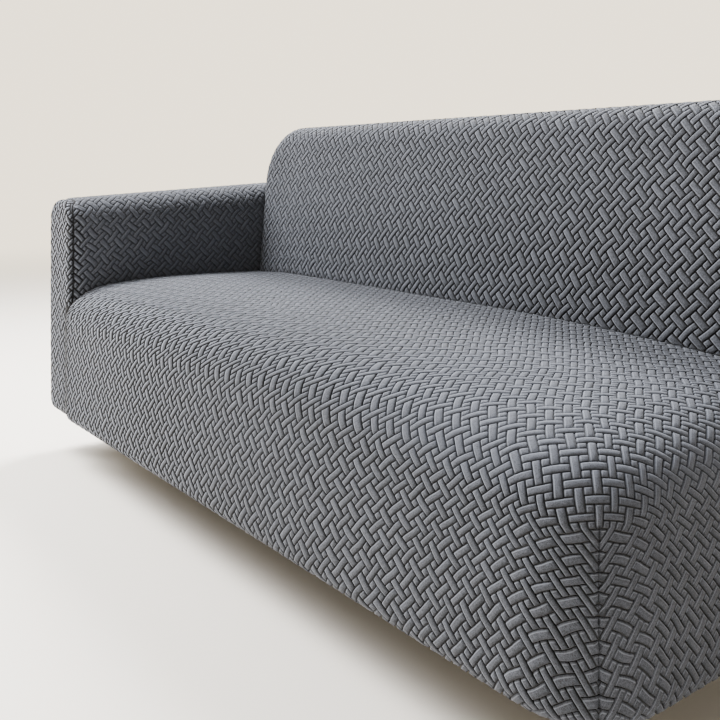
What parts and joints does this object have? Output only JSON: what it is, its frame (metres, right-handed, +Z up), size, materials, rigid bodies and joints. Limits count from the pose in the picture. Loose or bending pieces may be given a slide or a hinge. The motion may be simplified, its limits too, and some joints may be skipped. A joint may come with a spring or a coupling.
{
  "type": "fitted sofa slipcover",
  "caption": "Hollow fitted stretch slipcover for a sofa with an arm at one end: woven-look seat, back, arm and rear panels over an open bottom.",
  "frame": {"origin": "middle of the cover's footprint, at the height of its hem", "axes": "+X along the sofa from the arm end to the open end, +Y from the seat's front to the back, +Z up"},
  "size_m": [1.8319, 0.8229, 0.756],
  "materials": {
    "seat_panel": "matt raised basket weave in grey stretch yarn",
    "back_panel": "matt raised basket weave in grey stretch yarn",
    "arm_panel": "matt raised basket weave in grey stretch yarn",
    "arm_front": "matt raised basket weave in grey stretch yarn",
    "outside_back": "matt raised basket weave in grey stretch yarn"
  },
  "bodies": {
    "root": {"seat_panel": "seat_panel", "back_panel": "back_panel", "arm_panel": "arm_panel", "arm_front": "arm_front", "outside_back": "outside_back"}
  },
  "joints": []
}
